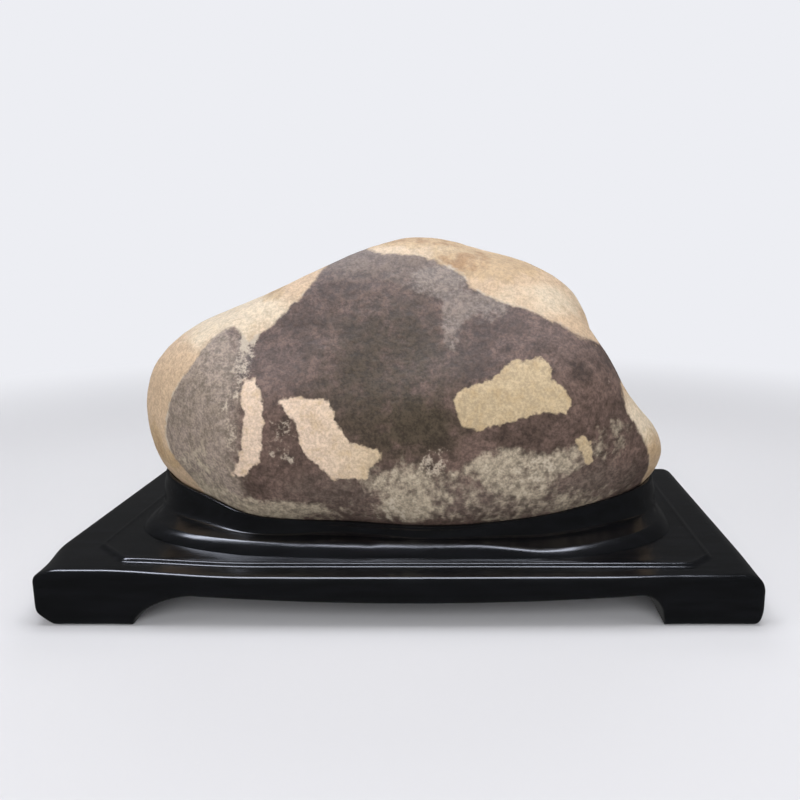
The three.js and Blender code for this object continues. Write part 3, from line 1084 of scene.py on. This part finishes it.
@dataclass
class CarvedStand:
    """A low stand carved from one board: feet, arch, raised panel, ridge and a rim up to the stone."""

    stone: WornStone
    length: float = 490.0
    depth: float = 252.0
    board_top: float = 35.0
    arris: float = 4.0
    # How far the long sides bow out in the middle, and how far from there the bow reaches.
    bow_out: float = 3.2
    rail_end: float = 190.0
    # The rise of the front left corner, and the distances from the middle between which it climbs.
    corner_lift: tuple[float, float, float] = (4.0, 95.0, 195.0)
    left_foot: Foot = Foot(inner=-175, sweep=41, squareness=1.5)
    right_foot: Foot = Foot(inner=178, sweep=18, squareness=2.2)
    # The rail's underside: its lowest height, where that is, how much it rises and over what length.
    underside: tuple[float, float, float, float] = (16.0, 13.0, 4.7, 147.0)
    left_end: RolledEnd = RolledEnd(
        above=9,
        above_front=24,
        below_run=18,
        below_rise=17,
        below_squareness=1.2,
        corner_depth=45,
        corner_length=9,
    )
    right_end: RolledEnd = RolledEnd(
        above=12,
        above_front=14,
        below_run=7,
        below_rise=15,
        below_squareness=2.0,
        corner_depth=8,
        corner_length=6,
    )
    # Reach of the back corners' rounding along Y and along X.
    back_corner: tuple[float, float] = (7.0, 7.0)
    # The distances towards the front between which an end's top edge takes its fuller radius.
    front_zone: tuple[float, float] = (70.0, 122.0)
    panel_top: float = 37.0
    # The panel's left, right, front and back sides, and how much its corners are clipped.
    panel: tuple[float, float, float, float] = (-213.0, 217.0, -112.0, 112.0)
    panel_clips: tuple[float, float] = (28.0, 17.0)
    # The bead round the panel: how far in and how high each point of its profile lies.
    bead: tuple[tuple[float, float], ...] = (
        (0, 35.05),
        (0.7, 35.3),
        (1.4, 35.8),
        (2.5, 36.85),
        (3.2, 37.25),
        (4.2, 37.4),
        (6.6, 37.05),
    )
    # The ridge's crest: reach to the left, to the right and half depth, and squareness.
    ridge: tuple[float, float, float, float] = (194.5, 198.5, 95.0, 3.2)
    ridge_height: float = 44.0
    ridge_run: float = 6.0
    # A slump in the ridge: its plan angle, its spread in degrees, how far out and how far down it goes.
    ridge_dip: tuple[float, float, float, float] = (-40.0, 15.0, 7.0, 2.5)
    # The rim's width, and how far its outer band leans out.
    rim_width: float = 3.2
    rim_wall: float = 2.0
    # Height of the rim and depth of its outer band, in the middle and at the two ends.
    rim_middle: tuple[float, float] = (53.5, 3.2)
    rim_left: tuple[float, float] = (73.0, 12.0)
    rim_right: tuple[float, float] = (67.0, 11.0)
    rim_climb: float = 6.0
    seat_gap: float = 0.5
    hand_waver: float = 0.7
    rays: int = 420
    crease_degrees: float = 24.0

    def lift(self, x: Array, y: Array) -> Array:
        """How much higher the top lies than its nominal level, because the front left corner stands high."""
        height, start, end = self.corner_lift
        return height * smooth_step(-x, start, end) * (0.5 - y / self.depth)

    def stations(self) -> Array:
        """Where the board's sections stand, closer round the rolled ends and the arch's sweeps.

        Returns:
            Places along X in mm, from left to right.
        """
        half = self.length / 2
        left, right = self.left_foot, self.right_foot
        parts = [
            -half + eased_steps(self.left_end.above_front, 26),
            np.linspace(-half + self.left_end.above_front, left.inner, 16)[1:-1],
            left.inner + left.sweep - eased_steps(left.sweep, 24),
            np.linspace(left.inner, left.inner + left.sweep, 24)[1:-1],
            np.linspace(left.inner + left.sweep, right.inner - right.sweep, 90)[1:-1],
            right.inner - right.sweep + eased_steps(right.sweep, 20),
            np.linspace(right.inner - right.sweep, right.inner, 12)[1:-1],
            np.linspace(right.inner, half - self.right_end.above, 14)[1:-1],
            half - eased_steps(self.right_end.above, 22),
        ]
        return np.unique(np.round(np.concatenate(parts), 3))

    def underside_height(self, x: Array) -> Array:
        """Height of the board's underside: 0 at the feet, and the sagging arch between them.

        Formula: the rail's parabola times (1 - s^k)^(1/k), where s is the share of a foot's sweep
        that is still to go.

        Args:
            x: stations along the stand.

        Returns:
            One height for each station.
        """
        lowest, at, rise, over = self.underside
        foot = np.where(x < 0, 0, 1)
        inner = np.array((self.left_foot.inner, self.right_foot.inner))[foot]
        sweep = np.array((self.left_foot.sweep, self.right_foot.sweep))[foot]
        power = np.array((self.left_foot.squareness, self.right_foot.squareness))[foot]
        share = 1 - np.clip(np.abs(x - inner) / sweep, 0, 1)
        rail = lowest + rise * ((x - at) / over) ** 2
        arch = rail * (1 - share**power) ** (1 / power)
        between = (x > self.left_foot.inner) & (x < self.right_foot.inner)
        return np.where(between, arch, 0.0)

    def end_values(self, x: Array, name: str) -> Array:
        """A measure of the rolled end that each station belongs to."""
        return np.where(x < 0, getattr(self.left_end, name), getattr(self.right_end, name))

    def board_outline(self, x: Array) -> tuple[Array, Array, Array]:
        """The board's underside, front and back.

        Args:
            x: stations along the stand.

        Returns:
            The underside's height and the Y of the front and of the back at each station.
        """
        distance = self.length / 2 - np.abs(x)
        share = np.clip(np.abs(x) / self.rail_end, 0, 1)
        bow = 0.4 * smooth_step(1 - share, 0, 0.22) + 0.6 * (1 - share**2)
        out = self.depth / 2 + self.bow_out * bow
        rolls = [
            corner_inset(distance, end.below_run, end.below_rise, end.below_squareness)
            for end in (self.left_end, self.right_end)
        ]
        under = self.underside_height(x) + np.where(x < 0, rolls[0], rolls[1])
        front_run = self.end_values(x, "corner_length")
        front_cut = corner_inset(distance, front_run, self.end_values(x, "corner_depth"))
        back_cut = corner_inset(distance, self.back_corner[1], self.back_corner[0])
        return under, -out + front_cut, out - back_cut

    def top_height(self, x: Array, y: Array) -> Array:
        """Height of the board's top, rounded off at the ends and more at the front corners.

        Args:
            x: places along the stand.
            y: places across it.

        Returns:
            One height for each place.
        """
        near_front = smooth_step(-y, *self.front_zone)
        roundness = mix(self.end_values(x, "above"), self.end_values(x, "above_front"), near_front)
        fall = corner_inset(self.length / 2 - np.abs(x), roundness, np.minimum(roundness, 17))
        return self.board_top - fall

    def board_section(self) -> tuple[Array, Array]:
        """The board's plain section, turning from the bottom at the back over the top.

        Returns:
            How far across and how high each of its points lies.
        """
        half = self.depth / 2 - self.arris
        turn = np.linspace(0, np.pi / 2, 9)
        low, high = self.arris, self.board_top - self.arris
        rise = np.linspace(low, high, 9)[1:-1]
        across = [
            half + self.arris * np.sin(turn),
            np.full(len(rise), half + self.arris),
            half + self.arris * np.cos(turn),
            np.linspace(half, -half, 56)[1:-1],
            -half - self.arris * np.sin(turn),
            np.full(len(rise), -half - self.arris),
            -half - self.arris * np.cos(turn),
            np.linspace(-half, half, 24)[1:-1],
        ]
        up = [
            low - self.arris * np.cos(turn),
            rise,
            high + self.arris * np.sin(turn),
            np.full(54, self.board_top),
            high + self.arris * np.cos(turn),
            rise[::-1],
            low - self.arris * np.sin(turn),
            np.zeros(22),
        ]
        return np.concatenate(across), np.concatenate(up)

    def board(self) -> bpy.types.Object:
        """The board: its section carried along X and set to the outline, the feet and the arch.

        Formula: points in the lower rounding hang on the underside, points in the upper rounding on
        the top, and the side between them is shared out evenly.

        Returns:
            The board as a closed mesh object.
        """
        across, up = (part[None, :] for part in self.board_section())
        x = self.stations()[:, None]
        bottom, front, back = self.board_outline(x)
        half = self.depth / 2
        y = np.where(across < 0, front + half + across, back - half + across)
        x = np.broadcast_to(x, y.shape)
        top = self.top_height(x, y) + 0 * bottom
        rounding = np.minimum(1, (top - bottom) / (2 * self.arris))
        lift = self.lift(x, y)
        low, high = self.arris, self.board_top - self.arris
        hung = bottom + np.minimum(up, low) * rounding
        raised = top - (self.board_top - np.maximum(up, high)) * rounding + lift
        z = mix(hung, raised, np.clip((up - low) / (high - low), 0, 1))
        places = np.stack([x, y, z], axis=-1).reshape(-1, 3)
        rows, columns = z.shape
        faces = sheet_faces(rows, columns, closed=True).tolist()
        first = list(range(columns))
        last = list(range((rows - 1) * columns, rows * columns))
        faces.append(first[::-1])
        faces.append(last)
        return mesh_object("lacquered_stand", places, faces)

    def panel_reach(self, angle: Array, inset: float) -> Array:
        """The panel's plan radius: the nearest of its sides and clipped corners.

        Args:
            angle: plan angles in radians.
            inset: how far the sides are moved in.

        Returns:
            One radius for each angle.
        """
        left, right, front, back = self.panel
        clip_left, clip_right = self.panel_clips
        slant = math.sqrt(0.5)
        sides = np.array(
            [
                (1, 0, right),
                (-1, 0, -left),
                (0, -1, -front),
                (0, 1, back),
                (slant, -slant, (right - front - clip_right) * slant),
                (-slant, -slant, (-left - front - clip_left) * slant),
                (slant, slant, (right + back - clip_right) * slant),
                (-slant, slant, (-left + back - clip_left) * slant),
            ]
        )
        towards = np.cos(angle)[:, None] * sides[:, 0] + np.sin(angle)[:, None] * sides[:, 1]
        reach = np.where(towards > 1e-6, (sides[:, 2] - inset) / np.maximum(towards, 1e-6), np.inf)
        return np.min(reach, axis=1)

    def rim(self, angle: Array) -> tuple[Array, Array]:
        """The rim, which climbs towards both ends.

        Args:
            angle: plan angles in radians.

        Returns:
            Its height and the depth of its outer band at each angle.
        """
        share = np.abs(np.cos(angle)) ** self.rim_climb
        end = np.where(np.cos(angle)[:, None] < 0, self.rim_left, self.rim_right)
        height = mix(self.rim_middle[0], end[:, 0], share)
        return height, mix(self.rim_middle[1], end[:, 1], share)

    def seat_profile(self, angle: Array) -> Array:
        """The seat's turned profile at each angle: rows of plan radius and height.

        The rows run from the middle of the buried underside out to the panel's bead, then in over the
        toe, the hollow, the ridge and the rim to the middle of the top.

        Args:
            angle: plan angles in radians.

        Returns:
            A (rows, angles, 2) array in mm.
        """
        flat = np.ones(len(angle))
        height, band = self.rim(angle)
        stone_edge = self.stone.section(angle, height)
        turn, spread, out, down = self.ridge_dip
        away = (np.arctan2(np.sin(angle), np.cos(angle)) - math.radians(turn)) / math.radians(spread)
        dip = np.exp(-(away**2))
        ring = np.stack([np.cos(angle) * 200, np.sin(angle) * 100, 0 * angle], axis=1)
        waver = self.hand_waver * lattice_noise(ring, 26, 7)
        crest = (
            superellipse(angle, *self.ridge) + out * dip + waver,
            (self.ridge_height - down * dip) + 0.5 * waver,
        )
        toe = (crest[0] + self.ridge_run, self.panel_top * flat)
        fall = crest[1] - toe[1]
        line = (stone_edge + self.rim_width + self.rim_wall, height - band)

        def slung(share: float, sag: float) -> tuple[Array, Array]:
            """A point part of the way from the rim's line to the crest, below the straight line."""
            return mix(line[0], crest[0], share), mix(line[1], crest[1], share) - sag * (line[1] - crest[1])

        rows = [
            (0 * flat, 31 * flat),
            (self.panel_reach(angle, 0), 31 * flat),
            *((self.panel_reach(angle, inset), up * flat) for inset, up in self.bead),
            (mix(self.panel_reach(angle, 9), toe[0], 0.4), (self.panel_top - 0.05) * flat),
            (toe[0] + 0.5, self.panel_top * flat),
            (toe[0] + 0.05, toe[1] + 0.04 * fall),
            (toe[0] - 1.8, toe[1] + 0.36 * fall),
            (crest[0] + 1.6, crest[1] - 0.26 * fall),
            (crest[0] - 0.6, crest[1] - 0.03 * fall),
            (crest[0] - 2.8, crest[1] + 0.14 * fall),
            (crest[0] - 4.8, crest[1] + 0.2 * fall),
            slung(0.42, 0.3),
            slung(0.22, 0.42),
            slung(0.09, 0.3),
            line,
            (mix(line[0], stone_edge + self.rim_width, 0.7), mix(line[1], height - 1, 0.55)),
            (stone_edge + self.rim_width - 0.1, height - 1.1),
            (stone_edge + 0.65 * self.rim_width, height - 0.25),
            (stone_edge + 0.3 * self.rim_width, height),
            (stone_edge - 4, height - 2),
            (0 * flat, (self.rim_middle[0] - 2) * flat),
        ]
        return np.array([np.stack(row, axis=1) for row in rows])

    def seat(self) -> bpy.types.Object:
        """The panel and the seat as one closed form: smooth curves through the profile, turned round.

        Formula: between two rows of the profile runs a Catmull-Rom curve, whose slope at a row is half
        the step between the rows on either side of it.

        Returns:
            The form as a closed mesh object, with its low parts lifted as the board's top is.
        """
        turn = np.linspace(0, 2 * np.pi, self.rays, endpoint=False)
        angle = np.arctan2(np.sin(turn) * self.ridge[2], np.cos(turn) * self.ridge[1])
        rows = self.seat_profile(angle)
        straight = {0, 1, len(rows) - 3, len(rows) - 2}
        rings = []
        for k in range(len(rows) - 1):
            start, end = rows[k], rows[k + 1]
            if k in straight:
                rings.append(start)
                continue
            before = rows[k - 1] if k - 1 not in straight else start - (end - start)
            after = rows[k + 2] if k + 1 not in straight else end + (end - start)
            for share in (0, 0.25, 0.5, 0.75):
                cube, square = share**3, share**2
                ring = 2 * start + (end - before) * share
                ring += (2 * before - 5 * start + 4 * end - after) * square
                ring += (3 * start - before - 3 * end + after) * cube
                rings.append(ring / 2)
        rings.append(rows[-1])
        profile = np.array(rings)
        x = profile[..., 0] * np.cos(angle)
        y = profile[..., 0] * np.sin(angle)
        low = 1 - smooth_step(profile[..., 1], self.panel_top, self.rim_middle[0])
        z = profile[..., 1] + self.lift(x, y) * low
        inner = np.stack([x, y, z], axis=-1)[1:-1]
        count = len(inner)
        middles = [(0, 0, profile[0, 0, 1]), (0, 0, profile[-1, 0, 1])]
        places = np.concatenate([inner.reshape(-1, 3), middles])
        faces = sheet_faces(count, self.rays, closed=True).tolist()
        around = np.arange(self.rays)
        after = (around + 1) % self.rays
        bottom = np.stack([np.full(self.rays, count * self.rays), after, around], axis=1)
        above = (count - 1) * self.rays
        top = np.stack([np.full(self.rays, count * self.rays + 1), above + around, above + after], axis=1)
        return mesh_object("seat_form", places, faces + bottom.tolist() + top.tolist())

    def build(self) -> bpy.types.Object:
        """Carves the stand: the board with the seat on it, less the stone grown by the gap.

        Returns:
            The stand.
        """
        piece = self.board()
        carve(piece, self.seat(), Carving.JOIN)
        carve(piece, self.stone.seat_tool(self.seat_gap), Carving.CUT)
        shade(piece, self.crease_degrees)
        return piece


@dataclass(frozen=True)
class LacquerFinish:
    """Black lacquer over carved hardwood, sprayed in thin coats and rubbed down: satin, deep black.

    It shows broad soft lights and thin bright lines on every rounded edge, a little wavy because the
    wood under it is cut by hand.
    """

    # The lacquer, and a painted sheen: a little lighter black along the tool's strokes, where they catch more
    # light.
    black: str = "#08090b"
    stroke_sheen_black: str = "#0d0e11"
    roughness: float = 0.22
    # The waver is the wood's slow unevenness, and the strokes run along the board like the tool did.
    waver: Grain = Grain(30, 2, 0.5)
    strokes: Grain = Grain(5, 3, 0.5, (0.15, 1.0, 1.0))
    relief: Emboss = Emboss(0.35, 1.2)

    def material(self) -> bpy.types.Material:
        """The material: near black, with a slow waver in the gloss and a faint painted sheen along the run of
        the tool.

        Returns:
            The stand's material.
        """
        material, painter = new_material("satin_black_lacquer")
        painter.gather({"waver": self.waver, "strokes": self.strokes})
        # Painted sheen: a lighter black laid along the tool's strokes.
        colour = painter.lay(self.black, self.stroke_sheen_black, Spread({"strokes": 1.0}, 0.0, 0.35, 0.7))
        roughness = painter.weigh({"waver": 0.12, "strokes": 0.06}, self.roughness - 0.09)
        relief = painter.weigh({"waver": 1.0, "strokes": 0.12})
        painter.surface(colour, roughness, relief, self.relief)
        return material


# The studio


class Lighting(Enum):
    """What a studio light does: it lights the surfaces, or it is what shiny surfaces mirror."""

    FILL = "fill"
    SHINE = "shine"


@dataclass(frozen=True)
class SoftLight:
    """A rectangular studio light: its place, what it is turned to, its size in metres and its power."""

    name: str
    place: Place
    target: Place
    size: tuple[float, float]
    power: float
    way: Lighting = Lighting.FILL
    tint: str = "#ffffff"

    def build(self) -> None:
        """Makes the light, which either lights surfaces or is mirrored by them."""
        lamp = bpy.data.lights.new(self.name, "AREA")
        lamp.shape = "RECTANGLE"
        lamp.size, lamp.size_y = self.size
        lamp.energy = self.power
        lamp.color = linear_colour(self.tint)[:3]
        light = bpy.data.objects.new(self.name, lamp)
        light.location = self.place
        towards = Vector(self.target) - Vector(self.place)
        light.rotation_euler = towards.to_track_quat("-Z", "Y").to_euler()
        light.visible_diffuse = self.way is Lighting.FILL
        light.visible_glossy = self.way is Lighting.SHINE
        bpy.context.scene.collection.objects.link(light)


@dataclass(frozen=True)
class Studio:
    """A pale floor in a pale room, soft lights and the camera."""

    paper: str = "#d5d5d9"
    pale_room: str = "#edeef3"
    # The floor's radius, how far it lies under the object, and the shares of its radius between which
    # it goes over into the room's paleness.
    floor_reach: float = 1250.0
    floor_drop: float = 0.05
    floor_fade: tuple[float, float] = (0.45, 0.95)
    room_reach: float = 6000.0
    dim: float = 0.08
    # The camera, in metres and degrees, with the picture's shift to the side as a share of its width.
    camera_place: Place = (0.0462, -0.6152, 0.2517)
    camera_pitch: float = 11.4476
    camera_shift: float = -0.0825
    lights: tuple[SoftLight, ...] = (
        SoftLight("overhead_fill", (0.0, 0.0, 1.4), (0.0, 0.0, 0.1), (1.5, 0.9), 13.5),
        SoftLight("front_fill", (0.15, -2.1, 1.2), (0.0, 0.0, 0.12), (2.2, 1.4), 36.0),
        SoftLight("low_front_fill", (0.0, -1.7, 0.2), (0.0, 0.0, 0.1), (2.0, 0.3), 6.0),
        SoftLight("left_fill", (-1.7, -0.5, 0.8), (0.0, 0.0, 0.12), (0.9, 0.9), 9.0),
        SoftLight("right_fill", (1.7, -0.4, 0.9), (0.0, 0.0, 0.12), (0.9, 0.9), 7.0),
        SoftLight("back_fill", (0.0, 1.8, 1.5), (0.0, 0.0, 0.12), (2.0, 1.0), 14.0),
        SoftLight(
            name="overhead_strip",
            place=(-0.35, 0.03, 1.35),
            target=(-0.35, 0.0, 0.1),
            size=(1.7, 0.42),
            power=42.0,
            way=Lighting.SHINE,
            tint="#e8eeff",
        ),
    )

    def floor(self) -> bpy.types.Object:
        """The floor: a disc of pale paper that goes over into the room's own paleness at its edge.

        Returns:
            The disc, just under the object.
        """
        turn = np.linspace(0, 2 * np.pi, 96, endpoint=False)
        rim = np.stack([np.cos(turn), np.sin(turn), 0 * turn], axis=1) * self.floor_reach
        rim[:, 2] = -self.floor_drop
        floor = mesh_object("paper_floor", rim, [list(range(96))])
        material, painter = new_material("pale_paper")
        tree, shader = painter.tree, painter.shader
        shader.inputs["Base Color"].default_value = linear_colour(self.paper)
        shader.inputs["Roughness"].default_value = 0.9
        place = add_node(tree, "TexCoord").outputs["Object"]
        away = add_node(tree, "VectorMath", {0: place}, operation="LENGTH").outputs["Value"]
        start, end = (share * self.floor_reach * METRES for share in self.floor_fade)
        inputs = {"Value": away, "From Min": start, "From Max": end}
        share = add_node(tree, "MapRange", inputs, interpolation_type="SMOOTHSTEP").outputs["Result"]
        glow = add_node(tree, "Emission", {"Color": linear_colour(self.pale_room)}).outputs[0]
        both = add_node(tree, "MixShader", {0: share, 1: shader.outputs[0], 2: glow}).outputs[0]
        tree.links.new(both, tree.nodes["Material Output"].inputs["Surface"])
        floor.data.materials.append(material)
        floor.visible_glossy = False
        return floor

    def room(self) -> bpy.types.Object:
        """The pale room round the floor, which is there to be seen and neither lights nor shades.

        Returns:
            The room as a plain closed box.
        """
        reach = self.room_reach
        places = [(x, y, z) for z in (-0.2, reach) for y in (-reach, reach) for x in (-reach, reach)]
        faces = [[0, 1, 3, 2], [4, 6, 7, 5], [0, 4, 5, 1], [2, 3, 7, 6], [0, 2, 6, 4], [1, 5, 7, 3]]
        room = mesh_object("pale_room", np.array(places), faces)
        material = bpy.data.materials.new("pale_glow")
        material.use_nodes = True
        tree = material.node_tree
        tree.nodes.clear()
        glow = add_node(tree, "Emission", {"Color": linear_colour(self.pale_room)})
        add_node(tree, "OutputMaterial", {"Surface": glow.outputs[0]})
        room.data.materials.append(material)
        room.visible_diffuse = False
        room.visible_glossy = False
        room.visible_shadow = False
        return room

    def world(self) -> None:
        """A dim even light from all round."""
        world = bpy.data.worlds.new("dim_room")
        world.use_nodes = True
        background = world.node_tree.nodes["Background"]
        background.inputs["Color"].default_value = linear_colour("#ffffff")
        background.inputs["Strength"].default_value = self.dim
        bpy.context.scene.world = world

    def camera(self) -> None:
        """The camera, where the photograph's perspective puts it: 0.6 m in front and 11.4 degrees down."""
        lens = bpy.data.cameras.new("camera")
        lens.lens = 36.0
        lens.sensor_width = 36.0
        lens.shift_x = self.camera_shift
        camera = bpy.data.objects.new("camera", lens)
        camera.location = self.camera_place
        camera.rotation_euler = (math.radians(90 - self.camera_pitch), 0.0, 0.0)
        bpy.context.scene.collection.objects.link(camera)
        bpy.context.scene.camera = camera

    def build(self) -> None:
        """Sets up the floor, the lights and the camera."""
        self.floor()
        self.room()
        for light in self.lights:
            light.build()
        self.world()
        self.camera()
        bpy.context.scene.view_settings.view_transform = "Standard"


def dress(piece: bpy.types.Object, node: str, material: bpy.types.Material) -> None:
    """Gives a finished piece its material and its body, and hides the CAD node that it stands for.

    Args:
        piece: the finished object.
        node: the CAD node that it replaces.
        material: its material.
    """
    piece.data.materials.clear()
    piece.data.materials.append(material)
    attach(piece, "root")
    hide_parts(node)
    LOG.info("%s: %d points, %d faces", piece.name, len(piece.data.vertices), len(piece.data.polygons))


def corners(bounds: tuple[Vector, Vector]) -> list[list[float]]:
    """A box's two corners as plain lists."""
    return [list(corner) for corner in bounds]


def main() -> None:
    """Loads the frame, builds the stone, the stand and the studio."""
    logging.basicConfig(level=logging.INFO, format="%(name)s: %(message)s")
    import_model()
    Studio().build()
    stone = WornStone()
    dress(stone.build(), "stone", ClaystoneFinish().material())
    dress(CarvedStand(stone).build(), "stand", LacquerFinish().material())


if __name__ == "__main__":
    main()
